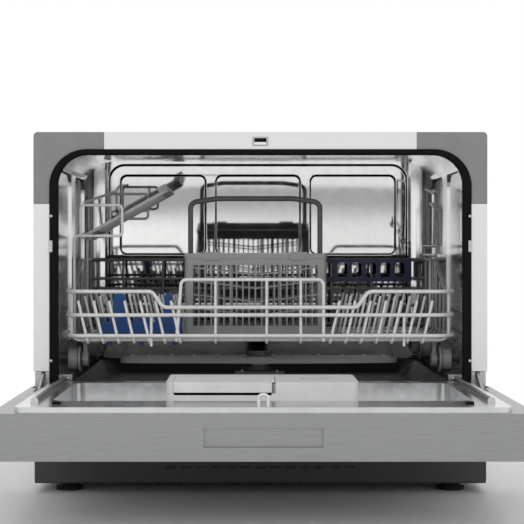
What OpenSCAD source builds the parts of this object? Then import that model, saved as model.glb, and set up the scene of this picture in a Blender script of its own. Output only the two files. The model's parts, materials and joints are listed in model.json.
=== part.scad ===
// Countertop dishwasher with a drop-down door, a wire rack on rollers and a cutlery basket.
// Millimetres, +Z up, +X to the right seen from the front, -Y towards the user.
// The door is drawn open, because that is how the machine rests here.

/* [Cabinet] */
// Width over the outer sheet
body_w = 550; // [520:1:600]
// Height from the worktop to the roof
body_h = 438; // [434:1:480]
// Depth from the front frame to the back
body_d = 442; // [430:1:500]
// Thickness of the painted cabinet sheet
sheet_t = 1.2; // [0.8:0.1:2]
// Depth of the front frame from front to back
frame_t = 18; // [12:1:20]
// Width of the frame's side strips
strip_w = 19.4; // [16:0.2:22]
// Height of the frame's top band
band_h = 21; // [18:0.5:26]
// Height at which the side strips end
strip_bottom = 148; // [144:1:156]
// Outer corner radius of the door opening
opening_r = 45; // [34:1:50]
// Width of a grey corner cover, measured from the side
cover_w = 85.4; // [70:1:100]
// Height of a grey corner cover, measured from the roof
cover_h = 87; // [70:1:100]
// Radius of the cabinet's outer corners seen from the front
cabinet_r = 5; // [2:0.5:10]
// Height of the feet
foot_h = 12; // [10:1:16]
// Radius of a foot's pad
foot_r = 17; // [12:1:20]
// Height of the plastic base tray
tray_h = 60; // [56:1:62]
// Wall of the plastic base tray
tray_wall = 3; // [2:0.5:4]

/* [Tub] */
// Space between the tub's inner face and the cabinet's side
side_space = 27.5; // [27:0.5:32]
// Space between the tub's ceiling and the roof
roof_space = 15; // [13:0.5:17]
// Space between the tub's back wall and the cabinet's back
rear_space = 52; // [46:1:60]
// Wall of the pressed tub with its sound felt
tub_wall = 4; // [3:0.5:4.5]
// Height of the front sill
sill_z = 137; // [135:0.5:139]
// Height of the rails that the rack rolls on
rail_z = 143.3; // [141:0.1:145]
// Depth that the panels are pressed into the side walls
emboss = 2.5; // [1:0.5:3]
// Depth of each of the two steps that are pressed into the back wall
back_emboss = 4; // [2:0.5:4.5]
// Radius between the tub's walls and its back
cove_r = 26; // [16:1:28]
// Width of the rubber seal round the opening
gasket_w = 10.6; // [8:0.2:12]
// Height that the seal stands proud of the frame
gasket_proud = 3.6; // [2:0.1:3.7]

/* [Door] */
// Thickness of the door
door_t = 54; // [48:1:58]
// Distance of the hinge pin in front of the frame
hinge_out = 26; // [24:0.5:28]
// Height of the hinge pin
hinge_z = 115; // [113:0.5:117]
// Gap between the closed door and the frame
door_gap = 4; // [3.9:0.1:4.5]
// Gap between the top of the closed door and the roof line
door_drop = 2; // [1:0.5:4]
// Depth of the pressed recess in the liner
recess_depth = 16; // [12:1:20]
// Diameter of the hinge pin
pin_d = 8; // [6:0.5:10]
// Thickness of the hinge arm
arm_t = 3; // [2:0.5:4]
// Radial clearance of a pin in its bore
fit = 0.05; // [0.02:0.01:0.1]

/* [Dispenser] */
// Width of the detergent dispenser
disp_w = 206; // [190:1:220]
// Depth of the dispenser, from front to back
disp_d = 110; // [90:1:120]
// Width of the lid
lid_w = 105; // [95:1:108]
// Thickness of the lid
lid_t = 3; // [2:0.5:4]

/* [Rack] */
// Diameter of the rim wires
rim_d = 4.8; // [4:0.2:6]
// Diameter of the filling wires
wire_d = 3.5; // [3:0.1:4]
// Gap between the tub's side and the centre of a rim wire
rack_side_gap = 8.5; // [8:0.5:12]
// Distance of the rack's front behind the frame
rack_front_y = 28; // [26:1:34]
// Gap between the tub's back wall and the centre of the rear rim
rack_rear_gap = 24; // [20:1:34]
// Height of the rack's floor wires
rack_z = 184; // [182:0.5:188]
// Height of the front rim beside the dip
front_rim_z = 244; // [240:1:250]
// Height of the front rim in its dip
dip_z = 224.5; // [220:0.5:230]
// Height of the rear rim
rear_rim_z = 281; // [270:1:286]
// Spacing of the plate tines
tine_pitch = 19; // [17:0.5:22]
// Number of tines on each side
tine_count = 7; // [4:1:7]
// Radius of a roller's tread
wheel_r = 13.7; // [12:0.1:14]
// Width of a roller's tread
wheel_w = 11; // [9:0.5:12]

/* [Cutlery basket] */
// Width of the basket
basket_w = 179; // [150:1:190]
// Depth of the basket from front to back
basket_d = 84; // [70:1:90]
// Height of the basket
basket_h = 105; // [90:1:112]
// Wall of the basket
basket_wall = 2.4; // [2:0.2:3]

/* [Cup shelves] */
// Length of the left shelf from its pivot
shelf_len = 124; // [100:1:126]
// Length of the right shelf from its pivot
frame_len = 90; // [70:1:96]
// Height of the left shelf's pivot
pivot_z = 313; // [306:1:318]
// Height of the right shelf's pivot
frame_pivot_z = 288; // [286:1:300]
// Depth of the left shelf from front to back
shelf_d = 150; // [120:1:170]
// Depth of the right shelf from front to back
wire_shelf_d = 184; // [150:1:190]
// Rest tilt of the left shelf
shelf_tilt = 29; // [20:1:32]

/* [Spray arm] */
// Gap between the tub's back wall and the tips of the spray arm
spray_gap = 5; // [4:1:20]
// Height of the spray arm's middle
spray_z = 150; // [148.5:0.5:152]

/* [Hidden] */
$fn = 48;

// The front frame's plane: the box round the open machine is centred on the origin.
cover_t = 3;
door_len = body_h - door_drop - hinge_z;
door_reach = hinge_out + door_len;
front_y = (door_reach - body_d) / 2;
half_w = body_w / 2;
tub_half = half_w - side_space;
tub_top = body_h - roof_space;
tub_d = body_d - rear_space;
open_half = half_w - strip_w;
open_top = body_h - band_h;
tray_z = foot_h;
tray_top = tray_z + tray_h;
inner_half = half_w - sheet_t;
tub_bottom = 112;
gap = 0.3;
eps = 0.01;

// Door levels, measured from the hinge pin with the door open.
rim_v = hinge_out - door_gap;
skin_v = rim_v - door_t;
side_v = rim_v - 6;
liner_half = half_w - 24;
liner_t = 1.5;
door_end = 22;
rail_x = tub_half - 11.5;
rail_w = 8;
slot_z = body_h - 11.3;
hook_u = slot_z - hinge_z;
recess_half = half_w - 54;
recess_from = 13;
recess_to = 246;

// Hinge: the arm lies between the bracket's two ears.
ear_t = 2.5;
arm_x = half_w - 13;
ear_in_x = arm_x - 4;
ear_out_x = arm_x + arm_t + 3;
pocket_from = ear_in_x - 1.5;
pocket_to = ear_out_x + ear_t + 1;

// ---------------------------------------------------------------- shared shapes

module at_front() translate([0, front_y, 0]) children();
module at_hinge() translate([0, front_y - hinge_out, hinge_z]) children();
module both_sides() {
    children();
    mirror([1, 0, 0]) children();
}

// A box from one corner to the opposite one.
module span(a, b) translate(a) cube(b - a);

// A rectangle with true arcs at its corners, from one corner to the opposite one.
module rounded(a, b, r) {
    translate([a.x + r, a.y]) square([b.x - a.x - 2 * r, b.y - a.y]);
    translate([a.x, a.y + r]) square([b.x - a.x, b.y - a.y - 2 * r]);
    for (x = [a.x + r, b.x - r], y = [a.y + r, b.y - r]) translate([x, y]) circle(r = r);
}

// A rounded bar in a plane from p to q.
module bar(p, q, r) {
    v = q - p;
    translate(p) circle(r = r);
    translate(q) circle(r = r);
    translate(p) rotate(atan2(v.y, v.x)) translate([0, -r]) square([norm(v), 2 * r]);
}

// An XZ outline made solid between two depths.
module deep(y0, y1) translate([0, y1, 0]) rotate([90, 0, 0]) linear_extrude(y1 - y0) children();

// A YZ outline made solid between two X places.
module wide(x0, x1) translate([x0, 0, 0]) rotate([90, 0, 90]) linear_extrude(x1 - x0) children();

module rod(p, q, d) {
    v = q - p;
    translate(p) rotate([0, acos(v.z / norm(v)), atan2(v.y, v.x)]) cylinder(d = d, h = norm(v), $fn = 20);
}

// Bent wire: straight rods joined by true arcs, with one bend radius for each inner point.
// A bend swells by a hair, as bent wire does, and takes in the ends of its straights.
bend_swell = 0.03;
bend_lap = 0.3;
function way(a, b) = (b - a) / norm(b - a);
function turn_at(p, i) = acos(way(p[i - 1], p[i]) * way(p[i], p[i + 1]));
function trim_at(p, r, i) = i == 0 || i == len(p) - 1 ? 0 : r[i - 1] * tan(turn_at(p, i) / 2);

module elbow(at, a, b, r, d) {
    turn = acos(a * b);
    w = (b - (b * a) * a) / norm(b - (b * a) * a);
    c = at - a * r * tan(turn / 2) + w * r;
    z = cross(-w, a);
    multmatrix([
        [-w.x, a.x, z.x, c.x],
        [-w.y, a.y, z.y, c.y],
        [-w.z, a.z, z.z, c.z],
        [0, 0, 0, 1]
    ])
        rotate_extrude(angle = turn) translate([r, 0]) circle(d = d + 2 * bend_swell, $fn = 20);
}

module bent_wire(p, r, d) {
    for (i = [0 : len(p) - 2]) {
        u = way(p[i], p[i + 1]);
        a = trim_at(p, r, i) - (i == 0 ? 0 : bend_lap);
        b = trim_at(p, r, i + 1) - (i == len(p) - 2 ? 0 : bend_lap);
        rod(p[i] + u * a, p[i + 1] - u * b, d);
    }
    for (i = [1 : 1 : len(p) - 2]) {
        elbow(p[i], way(p[i - 1], p[i]), way(p[i], p[i + 1]), r[i - 1], d);
    }
}

// ---------------------------------------------------------------- cabinet

// Connector pocket in the base tray's back.
pocket_x1 = half_w - 25;
pocket_x0 = pocket_x1 - 150;
pocket_deep = 32;
post_x = half_w - 11.5;
spring_z = 95;
spring_from = 60;
spring_to = 205;

module base_tray() color("#2b2c2e") at_front() {
    difference() {
        span([-inner_half, 4, tray_z], [inner_half, body_d, tray_top]);
        span([-inner_half + tray_wall, 4 + tray_wall, tray_z + tray_wall],
            [inner_half - tray_wall, body_d - tray_wall, tray_top + 1]);
        span([pocket_x0, body_d - pocket_deep, tray_z + 2 * tray_wall],
            [pocket_x1, body_d + 1, tray_top + 1]);
        both_sides() for (y = [40, body_d - 42])
            translate([half_w - 40, y, tray_z - 1]) cylinder(r = 3, h = 6);
    }
    // the pocket's own walls
    difference() {
        span([pocket_x0 - tray_wall, body_d - pocket_deep - tray_wall, tray_z + tray_wall],
            [pocket_x1 + tray_wall, body_d, tray_top]);
        span([pocket_x0, body_d - pocket_deep, tray_z + 2 * tray_wall],
            [pocket_x1, body_d + 1, tray_top - tray_wall]);
        for (x = [inlet_x, drain_x, gland_x])
            translate([x, body_d - pocket_deep + 1, port_z]) rotate([90, 0, 0])
                cylinder(r = port_hole(x), h = tray_wall + 2);
    }
    // posts that the door springs hook on
    both_sides() span([post_x - 4, spring_to, tray_z + 1], [inner_half - 1, spring_to + 7, spring_z + 8]);
}

module cabinet_wrap() color("#d4d5d6") at_front() deep(frame_t, body_d) difference() {
    rounded([-half_w, tray_z], [half_w, body_h], cabinet_r);
    rounded([-inner_half, tray_z - 20], [inner_half, body_h - sheet_t], cabinet_r - sheet_t);
}

module rear_panel() color("#c9cacb") at_front() difference() {
    span([-inner_half, body_d - sheet_t, tray_top], [inner_half, body_d, body_h - sheet_t - cabinet_r]);
    for (k = [0 : 7]) translate([-60 + 15 * k, body_d + 1, 330]) rotate([90, 0, 0])
        linear_extrude(sheet_t + 2) bar([0, 0], [0, 40], 2.5);
}

module opening(grow, r) {
    rounded([-open_half - grow, 60], [open_half + grow, open_top + grow], r);
}

module frame_outline() difference() {
    intersection() {
        translate([-half_w, strip_bottom]) square([body_w, body_h - strip_bottom]);
        rounded([-half_w, 0], [half_w, body_h], cabinet_r);
    }
    opening(0, opening_r);
    translate([-bezel_w / 2, slot_z - bezel_h / 2]) square([bezel_w, bezel_h]);
}

// The frame is stepped back under the corner covers.
module front_frame() color("#d8d8d8") at_front() {
    deep(cover_t, frame_t) frame_outline();
    deep(0, cover_t) difference() {
        frame_outline();
        both_sides() translate([half_w - cover_w, body_h - cover_h]) square([cover_w + 1, cover_h + 1]);
    }
}

module corner_covers() color("#7f7f7f") at_front() both_sides() deep(-0.6, cover_t) difference() {
    intersection() {
        translate([half_w - cover_w, body_h - cover_h]) square([cover_w, cover_h]);
        rounded([-half_w, 0], [half_w, body_h], cabinet_r);
    }
    opening(0, opening_r);
}

tub_r = opening_r - 7;

module tub_outline(grow) {
    rounded([-tub_half - grow, 60], [tub_half + grow, tub_top + grow], tub_r + grow);
}

// The corner between wall and back, filled up to its round: across, then in depth.
module cove_outline() difference() {
    translate([tub_r - cove_r, tub_d - cove_r]) square([cove_r + 0.5, cove_r]);
    translate([tub_r - cove_r, tub_d - cove_r]) circle(r = cove_r);
}

// The cove runs up both back corners, from the roller rail to where the ceiling bends.
module tub_cove() intersection() {
    both_sides() translate([tub_half - tub_r, 0, rail_z])
        linear_extrude(tub_top - rail_z) cove_outline();
    deep(tub_d - cove_r - 1, tub_d) tub_outline(1);
}

collar_from = 8;
collar_half = tub_half;
collar_top = open_top - 6;

module collar_hole() rounded([-collar_half, 60], [collar_half, collar_top], opening_r - 8);

module side_panels() for (y = [44, 216]) rounded([y, 176], [y + 136, tub_top - 26], 24);

module tub_wrap() color("#dcdddd") at_front() difference() {
    union() {
        deep(frame_t, tub_d) difference() {
            tub_outline(tub_wall);
            tub_outline(0);
        }
        deep(frame_t, frame_t + 2) difference() {
            rounded([-open_half, 60], [open_half, tub_top + tub_wall], opening_r);
            collar_hole();
        }
        deep(collar_from, frame_t) difference() {
            opening(0, opening_r);
            collar_hole();
        }
        tub_cove();
    }
    span([-half_w, 0, 50], [half_w, body_d, sill_z]);
    both_sides() wide(tub_half - 1, tub_half + emboss) side_panels();
}

back_t = 11;
panel_top = tub_top - 20;
panel_low = panel_top - 114;
panel_r = 9;
panel_out = tub_half - 48.5;
panel_half = (panel_out - 16) / 3;
panel_edges = [[-panel_half, panel_half], [panel_half + 15, panel_out]];

module tub_back() color("#e2e3e3") at_front() difference() {
    deep(tub_d, tub_d + back_t) tub_outline(tub_wall);
    span([-half_w, 0, 50], [half_w, body_d, sill_z]);
    deep(tub_d - 1, tub_d + back_emboss)
        rounded([-panel_out - 16, sill_z + 33], [panel_out + 16, tub_top - 5], 22);
    both_sides() for (e = panel_edges) deep(tub_d - 1, tub_d + 2 * back_emboss)
        rounded([e[0], panel_low], [e[1], panel_top], panel_r);
}

filter_y = 118;
hub_y = tub_d / 2 + 3;
spray_r = tub_d - hub_y - spray_gap;
cup_r = 35;
plate_r = 55;
dish_z = 120;
rail_in = tub_half - 18.5;

module tub_floor() color("#5d5f60") at_front() difference() {
    union() {
        span([-tub_half - tub_wall, 5, tub_bottom], [tub_half + tub_wall, tub_d + back_t, sill_z]);
        both_sides() span([rail_in, 14, sill_z], [tub_half, tub_d, rail_z]);
        span([-half_w + 21, 9, tray_top], [half_w - 21, 11, tub_bottom]);
    }
    hull() {
        translate([0, 0, sill_z + 1]) linear_extrude(1) rounded([-tub_half + 21, 12], [tub_half - 21, tub_d - 4], 20);
        translate([0, 0, dish_z]) linear_extrude(1) rounded([-tub_half + 41, 42], [tub_half - 41, tub_d - 34], 16);
    }
    translate([0, filter_y, tub_bottom + 5]) cylinder(r = plate_r + gap, h = 12);
    translate([0, filter_y, tub_bottom - 1]) cylinder(r = cup_r + 1, h = 10);
    translate([0, hub_y, tub_bottom - 1]) cylinder(r = 9, h = 12);
}

module gasket_profile() difference() {
    opening(0, opening_r);
    rounded([-open_half + gasket_w, 60], [open_half - gasket_w, open_top - 7], opening_r - 9);
    translate([-half_w, 0]) square([body_w, sill_z]);
}

module door_gasket() color("#111214") at_front() {
    deep(-gasket_proud, collar_from) gasket_profile();
}

module sill_seal() color("#17181a") at_front() {
    span([-tub_half + 4, 2.8, sill_z - 7], [tub_half - 4, 5, sill_z - 0.5]);
}

bezel_w = 19;
bezel_h = 10.7;
slot_w = 14.6;
slot_h = 7.8;

module latch_bezel() color("#b9babb") at_front() deep(-0.8, frame_t) difference() {
    translate([-bezel_w / 2, slot_z - bezel_h / 2]) square([bezel_w, bezel_h]);
    translate([-slot_w / 2, slot_z - slot_h / 2]) square([slot_w, slot_h]);
}

module latch_catch() color("#1d1e20") at_front() difference() {
    span([-22, frame_t, tub_top + tub_wall], [22, frame_t + 26, body_h - sheet_t]);
    span([-slot_w / 2, frame_t - 1, slot_z - slot_h / 2], [slot_w / 2, frame_t + 12, slot_z + slot_h / 2]);
}

module plinth() color("#3a3b3d") at_front() difference() {
    deep(1.5, 4) rounded([-inner_half, tray_z + 2], [inner_half, tray_top], 3);
    for (k = [-6 : 6]) deep(0, 5) bar([18 * k - 5, tray_z + 20], [18 * k + 5, tray_z + 20], 1.5);
}

module feet() color("#202124") at_front() both_sides() for (y = [40, body_d - 42])
    translate([half_w - 40, y, 0]) {
        cylinder(r = foot_r, h = 4);
        translate([0, 0, 4]) cylinder(r = foot_r - 5, h = foot_h - 4);
        translate([0, 0, foot_h]) cylinder(r = 3, h = 5);
    }

module ear_outline() {
    bar([-hinge_out, hinge_z], [22, hinge_z], 11);
    bar([-hinge_out, hinge_z], [22, tray_top + 16], 9);
}

module hinge_brackets() color("#a9abad") at_front() both_sides() difference() {
    union() {
        for (x = [ear_in_x, ear_out_x]) wide(x, x + ear_t) intersection() {
            ear_outline();
            translate([-hinge_out - 20, 0]) square([hinge_out + 46, 400]);
        }
        span([ear_in_x, 24, tray_top], [ear_out_x + ear_t, 26.5, strip_bottom + 20]);
        span([open_half + gap, 3, tray_top + 14], [inner_half - 0.3, 5.5, strip_bottom - 0.5]);
    }
    span([arm_x - 1.2, 2, tray_top], [arm_x + arm_t + 1.2, 6, strip_bottom]);
    translate([ear_in_x - 1, -hinge_out, hinge_z]) rotate([0, 90, 0]) cylinder(d = pin_d, h = 30);
}

module hinge_pins() color("#c8cacc") at_front() both_sides()
    translate([ear_in_x, -hinge_out, hinge_z]) rotate([0, 90, 0])
        cylinder(d = pin_d, h = ear_out_x + ear_t - ear_in_x);

module door_springs() color("#9b9da0") at_front() both_sides() {
    translate([post_x, spring_from, spring_z]) rotate([-90, 0, 0]) cylinder(d = 13, h = spring_to - spring_from - 12);
    translate([post_x, 26.5, spring_z]) rotate([-90, 0, 0]) cylinder(d = 3, h = spring_from - 26.5);
    translate([post_x, spring_to - 12, spring_z]) rotate([-90, 0, 0]) cylinder(d = 3, h = 12);
}

// ---------------------------------------------------------------- water system

sump_r = 62;
sump_z = 44;

module sump() color("#8b8d8e") at_front() difference() {
    translate([0, filter_y + 20, sump_z]) cylinder(r = sump_r, h = tub_bottom - sump_z);
    translate([0, filter_y + 20, sump_z + 4]) cylinder(r = sump_r - 4, h = tub_bottom - sump_z);
}

module fine_filter() color("#a7a9aa") at_front() difference() {
    translate([0, filter_y, tub_bottom + 5]) cylinder(r = plate_r, h = 2);
    translate([0, filter_y, tub_bottom]) cylinder(r = cup_r + gap, h = 10);
}

module heater() color("#b7b9bb") at_front() translate([0, filter_y + 20, sump_z + 8])
    rotate_extrude() translate([sump_r - 10, 0]) circle(r = 4);

pump_y = body_d - 142;
duct_from = filter_y + 20 + sump_r - 5;

module circulation_pump() color("#4c4e51") at_front() {
    translate([-60, pump_y, tray_z + tray_wall + 36]) rotate([0, 90, 0]) cylinder(r = 36, h = 80);
    translate([20, pump_y, tray_z + tray_wall + 36]) rotate([0, 90, 0]) cylinder(r = 30, h = 34);
    translate([37, duct_from, tray_z + tray_wall + 46]) rotate([-90, 0, 0])
        cylinder(r = 10, h = pump_y - duct_from);
}

module drain_pump() color("#6a6c6f") at_front() {
    translate([150, pump_y - 20, tray_z + tray_wall]) cylinder(r = 26, h = 44);
    translate([150, pump_y - 20, tray_z + tray_wall + 44]) cylinder(r = 18, h = 14);
}

port_z = tray_z + 31;
inlet_x = pocket_x0 + 35;
drain_x = pocket_x0 + 80;
gland_x = pocket_x0 + 122;
inlet_r = 13.22;
drain_r = 9.5;
gland_r = 8;
port_back = body_d - pocket_deep;

function port_hole(x) = x == inlet_x ? 12 : x == drain_x ? 8 : 10;

module inlet_valve() color("#e6e7e8") at_front() difference() {
    union() {
        translate([inlet_x, port_back + 26, port_z]) rotate([90, 0, 0]) cylinder(r = inlet_r, h = 22);
        translate([inlet_x, port_back + 4, port_z]) rotate([90, 0, 0]) cylinder(r = 17, h = 4);
        translate([inlet_x, port_back, port_z]) rotate([90, 0, 0]) cylinder(r = 12, h = tray_wall);
        span([inlet_x - 20, port_back - tray_wall - 40, tray_z + tray_wall], [inlet_x + 20, port_back - tray_wall, tray_z + 50]);
    }
    translate([inlet_x, port_back + 27, port_z]) rotate([90, 0, 0]) cylinder(r = 7.5, h = 24);
}

module drain_spigot() color("#7b7d80") at_front() difference() {
    union() {
        translate([drain_x, port_back + 28, port_z]) rotate([90, 0, 0]) cylinder(r = drain_r, h = 25);
        translate([drain_x, port_back + 3, port_z]) rotate([90, 0, 0]) cylinder(r = 13, h = 3);
        translate([drain_x, port_back, port_z]) rotate([90, 0, 0]) cylinder(r = 8, h = tray_wall + 10);
    }
    translate([drain_x, port_back + 29, port_z]) rotate([90, 0, 0]) cylinder(r = 7, h = 60);
}

module cord_gland() color("#18191b") at_front() difference() {
    union() {
        translate([gland_x, port_back + 14, port_z]) rotate([90, 0, 0]) cylinder(r = 12, h = 14);
        translate([gland_x, port_back, port_z]) rotate([90, 0, 0]) cylinder(r = 10, h = tray_wall + 3);
    }
    translate([gland_x, port_back + 15, port_z]) rotate([90, 0, 0]) cylinder(r = 4, h = 30);
}

// grey blocks that close the tub's lower front corners
module rail_ends() color("#8e9091") at_front() both_sides() difference() {
    span([rail_in, collar_from + gap, sill_z], [tub_half, 14, rail_z]);
    translate([rail_in - 1, collar_from, rail_z]) rotate([0, 90, 0]) cylinder(r = 3, h = 30);
}

spindle_r = 8;
arm_h = 9;
arm_z0 = spray_z - arm_h / 2;

module spray_hub() color("#3d3f41") at_front() translate([0, hub_y, 0]) {
    translate([0, 0, tub_bottom + gap]) cylinder(r = 9, h = dish_z - tub_bottom);
    translate([0, 0, dish_z]) cylinder(r = 16, h = arm_z0 - 4 - dish_z);
    translate([0, 0, arm_z0 - 4]) cylinder(r = spindle_r, h = arm_h + 8);
}

module filter_cup() color("#4a4c4e") at_front() translate([0, filter_y, 0]) {
    difference() {
        translate([0, 0, tub_bottom - 44]) cylinder(r = cup_r - 3, h = 54);
        translate([0, 0, tub_bottom - 40]) cylinder(r = cup_r - 6, h = 60);
    }
    difference() {
        translate([0, 0, tub_bottom + 7 + gap]) cylinder(r = cup_r + 3, h = 3);
        translate([0, 0, tub_bottom]) cylinder(r = cup_r - 6, h = 30);
    }
    // the handle bridge
    for (x = [-cup_r + 3, cup_r - 8]) span([x, -5, tub_bottom + 8], [x + 5, 5, 139]);
    span([-cup_r + 3, -5, 134], [cup_r - 3, 5, 139]);
}

module spray_blade() hull() {
    circle(r = 24);
    translate([spray_r - 16, 4]) circle(r = 13);
    translate([spray_r * 0.55, -2]) circle(r = 19);
}

module spray_arm() color("#8f9293") at_front() translate([0, hub_y, 0]) difference() {
    union() {
        translate([0, 0, arm_z0]) cylinder(r = 27, h = arm_h);
        for (a = [0, 180]) rotate(a) {
            translate([0, 0, arm_z0]) linear_extrude(arm_h - 2) spray_blade();
            translate([0, 0, arm_z0 + arm_h - 2]) linear_extrude(2) hull() {
                translate([22, 0]) circle(r = 14);
                translate([spray_r - 18, 3]) circle(r = 8);
            }
        }
        translate([0, 0, arm_z0 - 3]) cylinder(r = 14, h = 4);
    }
    translate([0, 0, arm_z0 - 5]) cylinder(r = spindle_r + fit, h = arm_h + 12);
    for (a = [0, 180], k = [0 : 5]) rotate(a) translate([36 + 24 * k, 4 * (k % 2) - 2, arm_z0 + 2])
        cylinder(r = 1.8, h = 12, $fn = 16);
}

module spray_nut() color("#6f7173") at_front() translate([0, hub_y, arm_z0 + arm_h + gap]) difference() {
    union() {
        cylinder(r = 15, h = 5);
        for (a = [0 : 30 : 330]) rotate(a) translate([14, 0, 0]) cylinder(r = 2.2, h = 5, $fn = 16);
    }
    translate([0, 0, -1]) cylinder(r = spindle_r, h = 5);
}

// ---------------------------------------------------------------- rack

// Crossing wires are welded this far into each other.
weld = 0.4;
step = wire_d - weld;
mid_z = 215;
low_z = 189.5;
guard_z = 258.6;
rack_half = tub_half - rack_side_gap;
rack_rear_y = tub_d - rack_rear_gap;
floor_front = rack_front_y + 14;
floor_rear = rack_rear_y - 10;
hoop_front = rack_front_y + 34;
hoop_rear = rack_rear_y - 36;
lean = 12;
tine_h = 52;
corner_r = 26;
under = rack_z - wire_d;

// The runs of the left and right bays: the right bay starts nearer the middle.
left_run = 98;
right_run = 86;
function runs(side) = [for (i = [0 : tine_count - 1]) side * ((side < 0 ? left_run : right_run) + tine_pitch * i)];
run_xs = concat(runs(-1), runs(1));

// The middle of the floor carries the basket, with runs of its own.
mid_xs = [-55, 8, 50];
cross_ys = [for (i = [1 : 8]) floor_front + (floor_rear - floor_front) * i / 8];
floor_z = rack_z - 0.4;

module rack_floor() color("#c9c7c2") at_front() {
    for (x = concat(run_xs, mid_xs)) rod([x, floor_front, under], [x, floor_rear, under], wire_d);
    for (y = cross_ys) rod([-rack_half + 14, y, floor_z], [rack_half - 14, y, floor_z], wire_d);
}

module front_hoop(z) bent_wire([
    [-rack_half, hoop_front, z], [-rack_half, rack_front_y, z],
    [rack_half, rack_front_y, z], [rack_half, hoop_front, z]
], [corner_r, corner_r], rim_d);

// Where the front corner's arc passes the first cross wire, inside the hoops.
turn_up_x = rack_half - corner_r + sqrt(pow(corner_r, 2) - pow(rack_front_y + corner_r - floor_front, 2)) - step;

module rack_front() color("#cfcdc8") at_front() {
    // top rim, dipping across the middle
    bent_wire([
        [-rack_half, hoop_front, front_rim_z], [-rack_half, rack_front_y, front_rim_z],
        [-133, rack_front_y, front_rim_z], [-119, rack_front_y, dip_z],
        [119, rack_front_y, dip_z], [133, rack_front_y, front_rim_z],
        [rack_half, rack_front_y, front_rim_z], [rack_half, hoop_front, front_rim_z]
    ], [corner_r, 9, 9, 9, 9, corner_r], rim_d);
    front_hoop(mid_z);
    front_hoop(low_z);
    // the guard in front of the cutlery basket
    bent_wire([
        [-103, rack_front_y + step, under + 2], [-97, rack_front_y + step, guard_z],
        [78, rack_front_y + step, guard_z], [78, rack_front_y + step, under + 2]
    ], [7, 7], rim_d - 0.6);
    for (x = mid_xs)
        bent_wire([
            [x, floor_front, under], [x, rack_front_y + step, under], [x, rack_front_y + step, guard_z]
        ], [7], wire_d);
    for (x = [-134, 177]) rod([x, rack_front_y + step, under - 4], [x, rack_front_y + step, mid_z + 2], wire_d);
    // the floor runs' front ends stand up and lean outwards
    for (x = run_xs)
        bent_wire([
            [x, floor_front, under], [x, rack_front_y + step, under],
            [x + sign(x) * lean, rack_front_y + step, under + tine_h]
        ], [6], wire_d);
    // the first cross wire turns up into the two front corners
    bent_wire([
        [-turn_up_x, floor_front, front_rim_z], [-turn_up_x, floor_front, floor_z],
        [turn_up_x, floor_front, floor_z], [turn_up_x, floor_front, front_rim_z]
    ], [10, 10], wire_d);
}

module rack_rear() color("#9d9c98") at_front() {
    bent_wire([
        [-rack_half, hoop_rear, rear_rim_z], [-rack_half, rack_rear_y, rear_rim_z],
        [rack_half, rack_rear_y, rear_rim_z], [rack_half, hoop_rear, rear_rim_z]
    ], [corner_r, corner_r], rim_d);
    for (z = [254, 240, mid_z, low_z]) bent_wire([
        [-rack_half, hoop_rear, z], [-rack_half, rack_rear_y, z],
        [rack_half, rack_rear_y, z], [rack_half, hoop_rear, z]
    ], [corner_r, corner_r], wire_d);
    // every third run goes up to the rear rim, the others stop at the rows below it
    for (i = [0 : len(run_xs) - 1]) bent_wire([
        [run_xs[i], floor_rear, under], [run_xs[i], rack_rear_y - step, under],
        [run_xs[i], rack_rear_y - step, i % 3 == 2 ? rear_rim_z : 242]
    ], [6], wire_d);
    for (x = mid_xs) bent_wire([
        [x, floor_rear, under], [x, rack_rear_y - step, under], [x, rack_rear_y - step, rear_rim_z]
    ], [6], wire_d);
}

side_first = hoop_front + 12;
side_ys = [for (i = [0 : 6]) side_first + (hoop_rear - 8 - side_first) * i / 6];
ramp_from = 130;
ramp_to = 230;

module rack_side() {
    rim_rise = rear_rim_z - front_rim_z;
    bent_wire([
        [rack_half, hoop_front, front_rim_z], [rack_half, ramp_from, front_rim_z],
        [rack_half, ramp_to, rear_rim_z], [rack_half, hoop_rear, rear_rim_z]
    ], [30, 30], rim_d);
    rod([rack_half, hoop_front, mid_z], [rack_half, hoop_rear, mid_z], wire_d);
    rod([rack_half, hoop_front, low_z], [rack_half, hoop_rear, low_z], rim_d);
    for (y = side_ys) {
        climb = max(0, min(1, (y - ramp_from) / (ramp_to - ramp_from)));
        bent_wire([
            [rack_half - 14, y, floor_z], [rack_half - step, y, floor_z],
            [rack_half - step, y, front_rim_z + rim_rise * climb]
        ], [7], wire_d);
    }
}

module rack_side_right() color("#bdbbb6") at_front() rack_side();
module rack_side_left() color("#bdbbb6") at_front() mirror([1, 0, 0]) rack_side();

tine_rows = [112, 192, 272];

// The right rows leave out the run beside the basket.
module plate_tines() color("#c9c7c2") at_front() for (y = tine_rows, side = [-1, 1]) {
    xs = runs(side);
    first = side < 0 ? 0 : 1;
    last = tine_count - 1;
    for (i = [first : last]) rod([xs[i], y, rack_z - 1], [xs[i] + side * lean, y + 3, rack_z + tine_h], wire_d);
    rod([xs[first], y + 2, rack_z + step], [xs[last] + side * 8, y + 2, rack_z + step], wire_d);
}

// ---------------------------------------------------------------- shelves and their wire hangers

pivot_x = rack_half - 15;
hanger_front = 100;
hanger_rear = hanger_front + shelf_d + 22;
hanger_x = rack_half - step;
shelf_rod_d = 4.2;

loop_h = 39;
rear_step = 25;
rear_loop_h = 34;
right_front = hanger_rear - wire_shelf_d - 22;

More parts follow.
